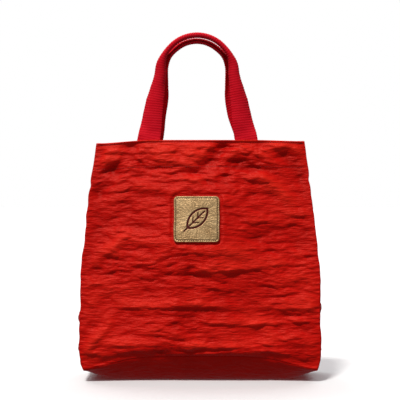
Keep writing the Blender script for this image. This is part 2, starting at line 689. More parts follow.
class Nodes:
    """A material's nodes, added one at a time."""

    def __init__(self, name):
        self.material = bpy.data.materials.new(name)
        self.material.use_nodes = True
        self.tree = self.material.node_tree
        self.shader = self.tree.nodes["Principled BSDF"]

    def add(self, kind, inputs=None, **settings):
        node = self.tree.nodes.new(kind)
        for key, value in settings.items():
            setattr(node, key, value)
        for key, value in (inputs or {}).items():
            self.plug(node.inputs[key], value)
        return node

    def plug(self, socket, value):
        if isinstance(value, bpy.types.NodeSocket):
            self.tree.links.new(value, socket)
        else:
            socket.default_value = value

    def math(self, operation, a, b=0.0):
        return self.add("ShaderNodeMath", {0: a, 1: b}, operation=operation).outputs[0]

    def weigh(self, *parts, plus=None):
        """The sum of values that each have a weight, on top of another value."""
        total = None
        for value, weight in parts:
            part = self.math("MULTIPLY", value, weight)
            total = part if total is None else self.math("ADD", total, part)
        return total if plus is None else self.math("ADD", total, plus)

    def relief(self):
        """The mesh's own value here, from 0 to 1: mostly how high it stands."""
        return self.add("ShaderNodeAttribute", attribute_name="relief").outputs["Fac"]

    def ramp(self, value, stops):
        node = self.add("ShaderNodeValToRGB", {"Fac": value})
        elements = node.color_ramp.elements
        while len(elements) < len(stops):
            elements.new(0.5)
        for element, (position, colour) in zip(elements, stops):
            element.position = position
            element.color = colour if hasattr(colour, "__len__") else (colour, colour, colour, 1)
        return node.outputs["Color"]

    def cloth_uv(self, scale_x, scale_y):
        uv = self.add("ShaderNodeUVMap", uv_map="cloth").outputs["UV"]
        return self.add("ShaderNodeMapping", {"Vector": uv, "Scale": (scale_x, scale_y, 1)}).outputs[0]

    def place(self):
        """Coordinates in the object, for surfaces that have no threads."""
        return self.add("ShaderNodeTexCoord").outputs["Object"]

    def noise(self, vector, scale, detail=2.0, rough=0.5):
        inputs = {"Vector": vector, "Scale": scale, "Detail": detail, "Roughness": rough}
        return self.add("ShaderNodeTexNoise", inputs).outputs["Fac"]

    def bumps(self, height, distance, strength=1.0, below=None):
        inputs = {"Height": height, "Distance": distance, "Strength": strength}
        if below is not None:
            inputs["Normal"] = below
        return self.add("ShaderNodeBump", inputs).outputs["Normal"]

    def weave(self, pitch_x, pitch_y):
        """Over-and-under threads: the height of a plain weave, from 0 to 1."""
        threads = self.cloth_uv(1 / pitch_x, 1 / pitch_y)
        x, y = self.add("ShaderNodeSeparateXYZ", {0: threads}).outputs[:2]
        wave_x = self.math("SINE", self.math("MULTIPLY", x, math.pi))
        wave_y = self.math("SINE", self.math("MULTIPLY", y, math.pi))
        return self.weigh((self.math("MULTIPLY", wave_x, wave_y), 0.5), plus=0.5)

    def finish(self, colour, roughness, normal=None, **fixed):
        self.plug(self.shader.inputs["Base Color"], colour)
        self.plug(self.shader.inputs["Roughness"], roughness)
        if normal is not None:
            self.plug(self.shader.inputs["Normal"], normal)
        for key, value in fixed.items():
            socket = key.replace("_", " ").title().replace("Ior", "IOR")
            self.shader.inputs[socket].default_value = value
        return self.material


def nylon(name, dark, middle, light):
    """Thin crinkled nylon: a fine plain weave, a soft gloss, and creases rubbed lighter."""
    n = Nodes(name)
    cloud = n.noise(n.cloth_uv(1, 1.6), 22, 3, 0.55)
    streak = n.noise(n.cloth_uv(0.35, 2.2), 150, 3, 0.6)
    tone = n.weigh((n.relief(), 0.55), (cloud, 0.35), (streak, 0.25))
    colour = n.ramp(tone, [(0.2, dark), (0.55, middle), (0.95, light)])
    rough = n.weigh((streak, 0.25), plus=0.32)
    weave = n.weave(0.00055, 0.00055)
    slubs = n.noise(n.cloth_uv(0.3, 1), 900, 2, 0.6)
    wrinkles = n.noise(n.cloth_uv(0.22, 1), 300, 3, 0.6)
    normal = n.bumps(n.weigh((weave, 0.6), plus=slubs), 0.00012, 0.6, n.bumps(wrinkles, 0.0022, 0.9))
    return n.finish(colour, rough, normal, specular_ior_level=0.4, specular_tint=(1, 0.26, 0.18, 1))


def webbing_look():
    """Ribbed cotton-like webbing: thick threads along it, packed weft across."""
    n = Nodes("red_webbing")
    weave = n.weave(0.0009, 0.00165)
    cloud = n.noise(n.cloth_uv(1, 1), 60, 3, 0.6)
    fibre = n.noise(n.cloth_uv(1, 0.25), 2600, 2, 0.6)
    tone = n.weigh((weave, 0.45), (cloud, 0.35), (n.relief(), 0.2))
    colour = n.ramp(tone, [(0.15, srgb(168, 2, 16)), (0.5, srgb(238, 10, 34)), (0.9, srgb(252, 46, 64))])
    normal = n.bumps(n.weigh((fibre, 0.3), plus=weave), 0.00035, 0.8)
    rough = n.weigh((fibre, 0.2), plus=0.55)
    return n.finish(colour, rough, normal, specular_ior_level=0.15, specular_tint=(1, 0.4, 0.4, 1))


def leather_look():
    """Champagne leather with a faint metallic finish and a fine grain."""
    n = Nodes("champagne_leather")
    where = n.place()
    cells = n.add("ShaderNodeTexVoronoi", {"Vector": where, "Scale": 900.0}, feature="DISTANCE_TO_EDGE")
    cloud = n.noise(where, 55, 4, 0.6)
    fleck = n.noise(where, 1400, 2, 0.7)
    tone = n.weigh((cloud, 0.6), (fleck, 0.25))
    gold = n.ramp(tone, [(0.25, srgb(180, 140, 92)), (0.5, srgb(216, 178, 126)), (0.75, srgb(246, 216, 168))])
    pressed = n.ramp(n.relief(), [(0.35, 1.0), (0.6, 0.0)])
    colour = n.add("ShaderNodeMix", {"Factor": pressed}, data_type="RGBA")
    n.plug(colour.inputs[6], gold)
    n.plug(colour.inputs[7], srgb(84, 8, 3))
    grain = n.math("MINIMUM", cells.outputs[0], 0.25)
    normal = n.bumps(n.weigh((grain, 3.0), (fleck, 0.4)), 0.00018, 0.7)
    rough = n.weigh((cloud, 0.2), plus=0.3)
    return n.finish(colour.outputs[2], rough, normal, metallic=0.45, specular_ior_level=0.35)


def thread_look(name, colour):
    """Twisted sewing thread, darker between its strands."""
    n = Nodes(name)
    wave = n.add("ShaderNodeTexWave", {"Vector": n.place(), "Scale": 900.0, "Distortion": 1.0})
    twist = wave.outputs["Fac"]
    dark = tuple(c * 0.6 for c in colour[:3]) + (1,)
    tone = n.ramp(twist, [(0.0, dark), (0.7, colour)])
    return n.finish(tone, 0.55, n.bumps(twist, 0.0001, 0.6), sheen_weight=0.2)


def tape_look():
    """Ribbed binding tape, darker than the cloth."""
    n = Nodes("seam_tape")
    ribs = n.weave(0.0006, 0.0012)
    cloud = n.noise(n.cloth_uv(1, 1), 70, 3)
    tone = n.weigh((ribs, 0.4), (cloud, 0.5))
    colour = n.ramp(tone, [(0.2, srgb(96, 10, 10)), (0.7, srgb(150, 20, 18))])
    return n.finish(colour, 0.7, n.bumps(ribs, 0.0002, 0.7), sheen_weight=0.2)


def label_look():
    """Off-white satin with fine ribs."""
    n = Nodes("satin_label")
    ribs = n.weave(0.0005, 0.0004)
    cloud = n.noise(n.cloth_uv(1, 1), 90, 3)
    colour = n.ramp(cloud, [(0.3, srgb(222, 216, 204)), (0.7, srgb(240, 236, 228))])
    return n.finish(colour, 0.45, n.bumps(ribs, 0.0001, 0.6), sheen_weight=0.2)


def metal_look():
    """Brushed steel, a little smudged."""
    n = Nodes("brushed_steel")
    where = n.place()
    brushed = n.noise(where, 1800, 2, 0.7)
    smudge = n.noise(where, 260, 3, 0.6)
    colour = n.ramp(smudge, [(0.3, srgb(176, 172, 164)), (0.7, srgb(206, 202, 194))])
    rough = n.weigh((brushed, 0.2), plus=0.22)
    return n.finish(colour, rough, n.bumps(brushed, 0.00006, 0.6), metallic=1.0)


LOOKS = {
    "cloth": nylon("red_nylon", srgb(180, 4, 2), srgb(222, 14, 8), srgb(250, 40, 24)),
    "facing": nylon("red_facing", srgb(176, 12, 8), srgb(206, 22, 16), srgb(226, 44, 34)),
    "webbing": webbing_look(),
    "leather": leather_look(),
    "metal": metal_look(),
    "tape": tape_look(),
    "label": label_look(),
    "thread": thread_look("red_thread", srgb(190, 24, 22)),
    "tan_thread": thread_look("tan_thread", srgb(84, 60, 34)),
}


def dress(obj, look):
    obj.data.materials.append(LOOKS[look])
    return obj


def join(obj, body):
    """Lets a piece ride on a body, or bend with the mouth between the bag and the front wall."""
    if body == "both":
        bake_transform(obj)
    else:
        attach(obj, body)
    return obj


def stand_for(obj, look, node, body):
    """Dresses a piece, says which CAD node it takes the place of and joins it to its body."""
    dress(obj, look)
    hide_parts(node)
    return join(obj, body)


# -------------------------------------------------------------------- the outer cloth
PALEST_FOLD, DARKEST_HOLLOW = 4.0, -3.0  # heights of the crinkles that set the cloth's tone


def cloth_grid(step, width, height):
    """Shares across (-1 to 1) and up (0 to 1) of a cloth of about this half width and height."""
    across = spaced(-1, 1, step / width, fine_ends=1 / width)
    up = spaced(0, 1, step / height, fine_ends=1 / height)
    return np.meshgrid(across, up)


def make_wall(side, step):
    u, v = cloth_grid(step, 150, 290)
    u = -side * u
    foot = wall_foot(u * FOOT_HALF)
    z = height_at(v, foot)
    x = u * seam_x(z)
    values = share(wall_relief(side, x, z, foot), DARKEST_HOLLOW, PALEST_FOLD)
    return cloth_piece(f"{WALL[side]}_cloth", wall_point(side, x, z), x, z, values=values)


def make_gusset(end, step):
    u, v = cloth_grid(step, 46, 300)
    u = end * u
    foot = base_height(FOOT_HALF, u * BASE_HALF_DEPTH) + 0.2
    z = height_at(v, foot)
    return cloth_piece(f"{HAND[end]}_gusset_cloth", gusset_point(end, u, z), u * 60, z, values=0.4)


def make_base(step):
    xs = spaced(-FOOT_HALF, FOOT_HALF, step, fine_ends=1)
    ys = spaced(-BASE_HALF_DEPTH, BASE_HALF_DEPTH, step, fine_ends=1)
    x, y = np.meshgrid(xs, -ys)
    return cloth_piece("base_cloth", base_point(x, y), x, y, values=0.3)


STEP = 1.5
settle_cloth()

WALL_CLOTH, GUSSET_CLOTH = {}, {}
for side, body in WALL_BODY.items():
    piece = stand_for(make_wall(side, STEP), "cloth", f"{WALL[side]}_panel", body)
    WALL_CLOTH[side] = piece
for end, hand in HAND.items():
    piece = stand_for(make_gusset(end, STEP), "cloth", f"{hand}_gusset", "both")
    GUSSET_CLOTH[end] = piece
base_cloth = stand_for(make_base(2.0), "cloth", "base_panel", "bag")


# ---------------------------------------------------------------------- the handles
# How far the webbing is curled and turned outwards, in degrees, and how far each leg bows
# out, all against height above the swing line.
CURL_HEIGHTS = [0, 10, 22, 36, 49, 62, 76, 89, 102, 110]
CURL_DEGREES = [6, 40, 66, 86, 112, 152, 205, 227, 258, 338]
TURN_DEGREES = [0, 12, 19, 21, 20, 18, 15, 10, 4, 0]
BOW_HEIGHTS = [0, 14, 29, 47, 65, 84, 97, 110, 120]
BOW = {-1: [0, 1.2, 3.4, 5.4, 4.8, 2.1, 1.5, 1.0, 0], 1: [0, 0, 0.5, 2.5, 4.5, 4.6, 3.5, 1.5, 0]}
LEG_SHIFT = {-1: -0.5, 1: -3.5}  # the back one was pulled to the left as it hung
ARCH = {-1: (136.0, 48.0), 1: (129.4, 42.2)}  # height and radius
WEBBING_WIDTH, WEBBING, GRIP_WIDTH, GRIP_WEBBING = 30.0, 1.9, 22.0, 1.6
RIB_PITCH, WEFT_PITCH = 3.3, 1.6
ACROSS_WEBBING = np.linspace(-0.5, 0.5, 41)
LEG_START_IN = 10.0  # how far a leg's first curve draws in
SEWN_BOTTOM, UNDER_RIM_Z = TOP_Z - 31, TOP_Z - 3.5


def handle_line(side, step):
    """Stations along half a handle, from its sewn end to the top: across and up."""
    height, arch_radius = ARCH[side]
    arch_centre = height - arch_radius
    start = np.array([HALF_SPAN, 0.0])
    p1 = np.array([HALF_SPAN - LEG_START_IN, arch_centre * 0.5])
    p2 = np.array([arch_radius + 1, arch_centre * 0.6])
    p3 = np.array([arch_radius, arch_centre])
    t = np.linspace(0, 1, 400)[:, None]
    leg = start * (1 - t) ** 3 + 3 * p1 * t * (1 - t) ** 2 + 3 * p2 * t * t * (1 - t) + p3 * t ** 3
    turn = np.linspace(0, math.pi / 2, 300)[1:, None]
    arch = np.concatenate([np.cos(turn), np.sin(turn)], 1) * arch_radius + [0, arch_centre]
    low = np.linspace(SEWN_BOTTOM - HINGE_Z, 0, 80)[:-1]
    lean = LEG_START_IN / (arch_centre * 0.5)
    outward = -lean * low * (1 - 0.5 * share(-low, 0, 34))
    sewn = np.stack([HALF_SPAN + outward, low], -1)
    line = np.concatenate([sewn, leg, arch])
    line[:, 0] += np.interp(line[:, 1], BOW_HEIGHTS, BOW[side])
    run = run_along(line)
    at = np.linspace(0, run[-1], int(run[-1] / step) + 1)
    return points_at(at, run, line), at


def webbing_section(up, run):
    """The webbing's section at each station: where its middle layer lies across and through,
    the angle it faces, how far its two faces stand off, and how far it is rolled up. The
    webbing is flat where it is sewn and closes with height into the tube of the grip."""
    u = ACROSS_WEBBING
    from_middle = np.abs(u)
    curl = np.radians(np.interp(up, CURL_HEIGHTS, CURL_DEGREES))
    curl = np.convolve(np.pad(curl, 9, mode="edge"), np.ones(19) / 19, mode="valid")[:, None]
    rolled = share(np.degrees(curl), 60, 338)
    rib = np.cos(2 * math.pi * run / RIB_PITCH)[:, None]
    flare = (bump(up - 108, 4.5) * (up > 60))[:, None]
    angle = u * curl * (1 - 0.10 * flare * (from_middle > 0.3))
    radius = (WEBBING_WIDTH + (GRIP_WIDTH - WEBBING_WIDTH) * rolled) / curl
    radius = radius * (1 + 0.16 * flare * smooth((from_middle - 0.3) / 0.2))
    shift = radius * (1 - np.sinc(curl / 2 / math.pi))
    flat = ease(rolled, 0.55, 1)
    across = radius * np.sin(angle) * (1 + 0.012 * rib) * (1 - 0.2 * flat)
    through = (radius * (1 - np.cos(angle)) - shift) * (1 + 0.12 * flat)
    selvage = 1 - 0.45 * smooth((from_middle - 0.44) / 0.06)
    half_thick = (WEBBING + (GRIP_WEBBING - WEBBING) * rolled) / 2 * selvage
    groove = 0.12 * rib * selvage
    weft = 0.08 * np.cos(2 * math.pi * u * WEBBING_WIDTH / WEFT_PITCH) * np.sign(rib)
    return across, through, angle, half_thick + groove + weft, groove - half_thick, rolled


def make_handle(side, step):
    half, run = handle_line(side, step)
    line = np.concatenate([half, half[:-1][::-1] * [-1, 1]])
    run = np.concatenate([run, 2 * run[-1] - run[:-1][::-1]])
    foot_x = HANDLE_X[side] + np.sign(line[:, 0, None]) * HALF_SPAN
    line[:, 0] += LEG_SHIFT[side] * ease(line[:, 1], 0, 36)
    tangent = unit(np.gradient(line, axis=0))
    up = line[:, 1]
    across, through, angle, lift, drop, rolled = webbing_section(up, run)
    turned = np.radians(np.interp(up, CURL_HEIGHTS, TURN_DEGREES))[:, None]
    wave = 0.9 * noise(run / 46, side * 3.5, 111) * ease(up, 10, 40)
    behind_cloth = CLOTH + 0.35 + WEBBING / 2

    def surface(offset):
        """The face that lies this far out from the middle layer."""
        a = across + offset * np.sin(angle)
        t = through - offset * np.cos(angle)
        a, t = a * np.cos(turned) - t * np.sin(turned), a * np.sin(turned) + t * np.cos(turned)
        t = t + wave[:, None] * (1 - rolled)
        x = HANDLE_X[side] + (line[:, 0, None] + tangent[:, 1, None] * a)
        height = up[:, None] - tangent[:, 0, None] * a
        soft = 5 * np.log1p(np.exp(np.clip(height / 5, -30, 30)))
        leaned = np.tan(HANDLE_LEAN) * np.where(height > 100, height, soft)
        z = height + HINGE_Z
        free = wall_depth(foot_x, TOP_Z) - behind_cloth
        sewn = side * wall_point(side, x, np.minimum(z, UNDER_RIM_Z))[..., 1] - behind_cloth
        loose = ease(z, TOP_Z - 2, TOP_Z + 14)
        depth = sewn + (free - sewn) * loose - leaned - t
        return np.stack([x, side * depth, z], -1)[:, ::-side]

    ribs = 0.5 + 0.5 * np.cos(2 * math.pi * run[:, None] / RIB_PITCH)
    place_u, place_v = ACROSS_WEBBING * WEBBING_WIDTH, run[:, None]
    name = f"{WALL[side]}_handle"
    webbing = closed_sheet(f"{name}_webbing", surface(lift), surface(drop), place_u, place_v, ribs)
    dress(webbing, "webbing")
    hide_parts(name, f"{name}_left_end", f"{name}_right_end")
    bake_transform(webbing)


for side, body in RIM_BODY.items():
    make_handle(side, 0.7)


# --------------------------------------------------------------------- facing and hem
FACING_DEPTH, HANDLE_DEPTH, SNAP_DEPTH = 1.2, 3.4, 3.3
FACING_LOW, FACING_HIGH, FACING_HALF = TOP_Z - 37.5, TOP_Z - 0.5, 127
FACING_HEM, ONE_LAYER, TWO_LAYERS = 5, 0.5, 0.95
GUSSET_FACING_REACH, GUSSET_FACING_DEPTH = 0.74, 0.85
SNAP_Z = 300.0


def near_handle(side, x):
    """1 over a handle's sewn end, 0 away from it."""
    return ease(26 - np.minimum(*handle_distances(side, x)), 0, 6)


def facing_depth(side, x, z):
    """How far inside the wall's outer face the facing lies, over the parts between them."""
    over_end = near_handle(side, x) * ease(z, TOP_Z - 36, TOP_Z - 29)
    over_snap = ease(14 - np.hypot(x, z - SNAP_Z), 0, 7)
    depth = FACING_DEPTH + (HANDLE_DEPTH - FACING_DEPTH) * over_end
    depth = np.maximum(depth, FACING_DEPTH + (SNAP_DEPTH - FACING_DEPTH) * over_snap)
    rolled = 0.45 * seam_roll((FACING_HIGH - z) * 1.2) * (1 - near_handle(side, x))
    ends = 0.35 * ease(np.abs(x), FACING_HALF - 15, FACING_HALF)
    return depth - rolled - ends


def facing_thickness(z):
    hem = FACING_LOW + FACING_HEM
    return ONE_LAYER + (TWO_LAYERS - ONE_LAYER) * (1 - ease(z, hem - 0.8, hem + 0.8))


def make_facing(side):
    heights = spaced(FACING_LOW, FACING_HIGH, 1.5, 0.5)
    x, z = np.meshgrid(spaced(-FACING_HALF, FACING_HALF, 1.6) * -side, heights)
    points = wall_point(side, x, z, facing_depth(side, x, z))
    dimples = 0.3 * (bump(z - RIM_STITCH_Z, 1.1) + bump(z - FACING_STITCH_Z, 1.1))
    return cloth_piece(f"{WALL[side]}_facing_cloth", points, x, z, facing_thickness(z) - dimples, 0.4)


def make_gusset_facing(end):
    heights = spaced(FACING_LOW, FACING_HIGH, 1.5, 0.5)
    a, z = np.meshgrid(spaced(-GUSSET_FACING_REACH, GUSSET_FACING_REACH, 0.035) * end, heights)
    points = gusset_point(end, a, z, GUSSET_FACING_DEPTH)
    return cloth_piece(f"{HAND[end]}_facing_cloth", points, a * 60, z, facing_thickness(z), 0.4)


# --------------------------------------------------------------------------- stitches
STITCH_LENGTH, THREAD = 2.5, 0.26
# One stitch's rings: place along it as a share of its length, then radius and height as
# shares of the thread's radius.
STITCH_RINGS = [(-0.5, 0.3, -0.9), (-0.38, 0.95, -0.15), (0, 1.05, 0.15)]
STITCH_RINGS += [(-at, size, lift) for at, size, lift in STITCH_RINGS[1::-1]]


def make_stitches(name, rows, look, length=STITCH_LENGTH, radius=THREAD):
    """rows holds (middles, directions along the seam, directions out of the cloth)."""
    middle = np.concatenate([row[0] for row in rows])
    along = unit(np.concatenate([row[1] for row in rows]))
    out = np.concatenate([row[2] for row in rows])
    beside = unit(np.cross(along, out))
    out = unit(np.cross(beside, along))
    sides = 6
    parts = []
    for at, size, lift in STITCH_RINGS:
        for turn in 2 * math.pi * np.arange(sides) / sides:
            sideways = beside * math.cos(turn) * size + out * (math.sin(turn) * size + lift)
            parts.append(middle + along * at * length + sideways * radius)
    points = np.stack(parts, 1)
    first_cap = np.array([[3, 2, 1, 0], [5, 4, 3, 0]])
    last_cap = np.array([[0, 1, 2, 3], [0, 3, 4, 5]]) + (len(STITCH_RINGS) - 1) * sides
    quads = np.concatenate([tube_faces(len(STITCH_RINGS), sides), first_cap, last_cap])[:, ::-1]
    starts = len(parts) * np.arange(len(middle))[:, None, None]
    return dress(make_mesh(name, points.reshape(-1, 3), (quads + starts).reshape(-1, 4)), look)


def row_on(surface, u, v, out_sign=1, lift=0.1):
    """A row of stitches where surface(u, v) gives points and u-cross-v points out."""
    step = 0.6
    here = surface(u, v)
    du, dv = np.gradient(u), np.gradient(v)
    size = np.maximum(np.hypot(du, dv), 1e-9)
    du, dv = du / size * step, dv / size * step
    along = surface(u + du, v + dv) - surface(u - du, v - dv)
    side = surface(u - dv, v + du) - surface(u + dv, v - du)
    out = unit(np.cross(along, side)) * out_sign
    return here + out * lift, along, out


def wall_rows(side):
    """The two rows through a wall and its facing, seen outside and inside."""
    def outside(u, v):
        return wall_point(side, -side * u, v)

    def inside(u, v):
        return wall_point(side, -side * u, v, facing_depth(side, u, v) + thick)

    rows = []
    for row_z, reach, thick in ((RIM_STITCH_Z, MOUTH_HALF - 2.5, ONE_LAYER),
                                (FACING_STITCH_Z, MOUTH_HALF - 2.0, TWO_LAYERS)):
        x = np.arange(-reach, reach, STITCH_PITCH)
        rows.append(row_on(outside, -side * x, np.full_like(x, row_z)))
        x = x[np.abs(x) < FACING_HALF - 2]
        rows.append(row_on(inside, -side * x, np.full_like(x, row_z), -1, 0.0))
    return rows


def gusset_rows(end):
    """The two rows through a gusset and its facing, seen outside and inside."""
    rows = []
    for row_z in (RIM_STITCH_Z, FACING_STITCH_Z):
        for most, depth, out_sign, lift in ((0.93, 0.0, 1, 0.1), (0.7, 1.4, -1, 0.0)):
            a = np.linspace(-0.93, 0.93, 33)
            a = a[np.abs(a) <= most]
            rows.append(row_on(lambda u, v: gusset_point(end, end * u / 40, v, depth),
                               end * a * 40, np.full_like(a, row_z), out_sign, lift))
    return rows


for side, body in RIM_BODY.items():
    wall = WALL[side]
    facing = stand_for(make_facing(side), "facing", f"{wall}_facing", body)
    join(make_stitches(f"{wall}_rim_stitching", wall_rows(side), "thread"), body)

for end, hand in HAND.items():
    facing = stand_for(make_gusset_facing(end), "facing", f"{hand}_facing", "both")
    join(make_stitches(f"{hand}_rim_stitching", gusset_rows(end), "thread"), "both")


# ---------------------------------------------------------------------- leather patch
PATCH_THICKNESS, STITCH_INSET, PATCH_PITCH = 2.4, 2.6, 2.9
LEAF_TILT, LEAF_LENGTH, LEAF_WIDTH, LEAF_LINE = math.radians(44), 36.0, 18.0, 1.25


def patch_outline_point(u, v):
    """Maps the square from -1 to 1 onto the patch's rounded square."""
    x, y = u * PATCH_HALF, v * PATCH_HALF
    cx, cy = (np.maximum(np.abs(place) - (PATCH_HALF - PATCH_CORNER), 0) for place in (x, y))
    shrink_x = cx * (1 - np.sqrt(1 - cy ** 2 / (2 * PATCH_CORNER ** 2)))
    shrink_y = cy * (1 - np.sqrt(1 - cx ** 2 / (2 * PATCH_CORNER ** 2)))
    return x - np.sign(x) * shrink_x, y - np.sign(y) * shrink_y


def segment_distance(x, y, x1, y1, x2, y2):
    """Distance from a straight line between two points."""
    dx, dy = x2 - x1, y2 - y1
    t = np.clip(((x - x1) * dx + (y - y1) * dy) / (dx * dx + dy * dy), 0, 1)
    return np.hypot(x - x1 - t * dx, y - y1 - t * dy)


def leaf_distance(x, y):
    """Distance from the lines of a plain leaf: outline, midrib with a stalk, four veins."""
    along = x * math.cos(LEAF_TILT) + y * math.sin(LEAF_TILT) - 1.5
    aside = -x * math.sin(LEAF_TILT) + y * math.cos(LEAF_TILT)
    half, width = LEAF_LENGTH / 2, LEAF_WIDTH / 2
    radius = (half ** 2 + width ** 2) / (2 * width)
    edge = np.hypot(along, np.abs(aside) + radius - width) - radius
    lines = [np.abs(edge) - LEAF_LINE, segment_distance(along, aside, -half - 6, 0, half - 5, 0) - 1.0]
    for at in (-8.5, 0.5):
        for hand in (-1, 1):
            lines.append(segment_distance(along, aside, at, 0, at + 5.4, hand * 5.0) - 0.7)
    return np.minimum.reduce(lines)


def patch_stitch_places():
    """The middles of the stitches, round the patch from its lower right."""
    inset = PATCH_HALF - STITCH_INSET
    corner = PATCH_CORNER - STITCH_INSET + 1.0
    straight = inset - corner
    path = []
    for quarter in range(4):
        turn = quarter * math.pi / 2
        for t in np.linspace(0, 1, 40, endpoint=False):
            path.append(rotate(inset, -straight + 2 * straight * t, turn))
        for t in np.linspace(0, math.pi / 2, 8, endpoint=False):
            path.append(rotate(straight + corner * math.cos(t), straight + corner * math.sin(t), turn))
    path = np.array(path + path[:1])
    run = run_along(path)
    count = int(round(run[-1] / PATCH_PITCH))
    return points_at((np.arange(count) + 0.5) * run[-1] / count, run, path)


def rotate(x, y, turn):
    return x * math.cos(turn) - y * math.sin(turn), x * math.sin(turn) + y * math.cos(turn)


def patch_point(x, y, lift=0.0):
    """A point over the patch's middle, lift above the cloth it is sewn to."""
    x, y, lift = together(x, y, lift)
    wall_x, z = PATCH_X + x, PATCH_Z + y
    bow = 0.35 * noise(x / 34 + 5, y / 34, 121)
    depth = wall_depth(wall_x, z) + sag(-1, wall_x, z) - 0.4 + bow
    moved = settled("front", wall_x / seam_x(z), z, wall_foot(wall_x))
    return np.stack([wall_x, -(depth + lift), z], -1) + moved


def patch_height(x, y, stitches):
    """The leather's height, and how flush it is: 0 in the leaf's pressed lines, 1 elsewhere."""
    edge = -outside_patch(PATCH_X + x, PATCH_Z + y)
    rounded = PATCH_THICKNESS * (0.35 + 0.65 * np.sqrt(1 - (1 - share(edge, 0, 1.1)) ** 2))
    groove = 0.22 * bump(edge - STITCH_INSET, 0.9)
    along = unit(np.roll(stitches, -1, 0) - np.roll(stitches, 1, 0))
    holes = np.concatenate([stitches - along * 0.95, stitches + along * 0.95])
    nearest = np.min(np.hypot(x[..., None] - holes[:, 0], y[..., None] - holes[:, 1]), -1)
    hole = bump(nearest, 0.5)
    leaf = 1 - ease(leaf_distance(x, y), -0.25, 0.35)
    turn = np.arctan2(y, x)
    wrinkle = 0.22 * noise(turn * 8, np.hypot(x, y) / 11, 122) + 0.14 * noise(x / 3.0, y / 1.4, 123)
    swell = 0.16 * bump(np.abs(edge - STITCH_INSET) - 1.6, 0.9)
    height = rounded - groove - 0.5 * hole - 0.55 * leaf + wrinkle * (1 - leaf) + swell
    return height, 1 - np.maximum(leaf, 0.8 * hole * (hole > 0.25))


def make_patch():
    step = 0.42
    values = spaced(-PATCH_HALF, PATCH_HALF, step, 0.35) / PATCH_HALF
    x, y = patch_outline_point(*np.meshgrid(values, values))
    stitches = patch_stitch_places()
    height, flush = patch_height(x, y, stitches)
    patch = closed_sheet("patch_leather", patch_point(x, y, height), patch_point(x, y), x, y, flush)
    stand_for(patch, "leather", "leather_patch", "front_wall")
    along = np.roll(stitches, -1, 0) - np.roll(stitches, 1, 0)
    middles = patch_point(stitches[:, 0], stitches[:, 1], PATCH_THICKNESS - 0.12)
    direction = np.stack([along[:, 0], 0 * along[:, 0], along[:, 1]], -1)
    out = np.broadcast_to([0.0, -1.0, 0.0], middles.shape)
    row = [(middles, direction, out)]
    join(make_stitches("patch_stitching", row, "tan_thread", 1.9, 0.4), "front_wall")


make_patch()


# ---------------------------------------------------------------------- inner pocket
POCKET_HALF, POCKET_LOW, POCKET_HIGH = 80.0, 150.0, 276.0
POCKET_HEM_Z = POCKET_HIGH - 12.0  # where its hem ends


def pocket_inside(x, z):
    """How far inside the back wall's outer face the pocket lies."""
    across = 1 - (x / POCKET_HALF) ** 2
    slack = 1.6 * across * np.sin(share(z, POCKET_LOW, POCKET_HIGH) * math.pi / 2)
    ripple = 0.35 * noise(x / 26, z / 9, 131) * smooth(across * 3)
    return CLOTH + 0.35 + slack + ripple + 0.3 * smooth(across * 8)


def make_pocket():
    across = -spaced(-POCKET_HALF, POCKET_HALF, 2.0, 0.5)
    x, z = np.meshgrid(across, spaced(POCKET_LOW, POCKET_HIGH, 1.8, 0.5))
    points = wall_point(1, x, z, pocket_inside(x, z))
    hem_start, hem_end, hem_row = POCKET_HEM_Z - 0.8, POCKET_HEM_Z + 0.8, POCKET_HEM_Z + 1.5
    thickness = 0.5 + 0.5 * ease(z, hem_start, hem_end) - 0.3 * bump(z - hem_row, 1.1)
    pocket = cloth_piece("pocket_cloth", points, x, z, thickness, 0.4)
    stand_for(pocket, "facing", "inner_pocket", "bag")

    def inside(u, v):
        cloth = np.interp(v, [hem_start, hem_end], [0.5, 0.75])
        return wall_point(1, -u, v, pocket_inside(u, v) + cloth)

    inset = 2.5
    reach = POCKET_HALF - inset
    upright = np.arange(POCKET_LOW + inset, POCKET_HIGH - 1, STITCH_PITCH)
    level = np.arange(-reach, reach, STITCH_PITCH)
    runs = [(np.full_like(upright, x), upright) for x in (-reach, reach)]
    runs += [(level, np.full_like(level, z)) for z in (POCKET_LOW + inset, hem_row)]
    rows = [row_on(inside, -x, z, -1, 0.05) for x, z in runs]
    join(make_stitches("pocket_stitching", rows, "thread"), "bag")


make_pocket()


# ----------------------------------------------------------------------- seam bindings
def cloth_tree(piece):
    return BVHTree.FromObject(piece, bpy.context.evaluated_depsgraph_get())


INNER_START = {0: 90, 1: 8}  # where a look outwards starts: inside the bag, clear of the cloth
WALL_TREES = {side: cloth_tree(piece) for side, piece in WALL_CLOTH.items()}
GUSSET_TREES = {end: cloth_tree(piece) for end, piece in GUSSET_CLOTH.items()}


def keep_inside(points, gap):
    """Moves points that came nearer than the gap to the cloth back inside the bag."""
    kept = points.copy()
    for place in kept.reshape(-1, 3):
        for axis, trees in ((1, WALL_TREES), (0, GUSSET_TREES)):
            way = math.copysign(1, place[axis])
            start, direction = Vector(place) * MM, Vector((0, 0, 0))
            start[axis] = way * INNER_START[axis] * MM
            direction[axis] = way
            hit = trees[way].ray_cast(start, direction)[0]
            if hit is not None:
                place[axis] = way * min(abs(place[axis]), abs(hit[axis]) / MM - gap)
    return kept


def seam_inward(side, end, z):
    """The direction into the bag from a side seam, between its wall and its gusset."""
    along_gusset = unit(gusset_point(end, side * 0.7, z) - wall_point(side, end * seam_x(z), z))
    inward = along_gusset + [-end, 0, 0]
    inward[..., 2] = 0
    return unit(inward)


BINDING_LOW, BINDING_HIGH, BINDING_WIDTH = 24, 276, 7.5


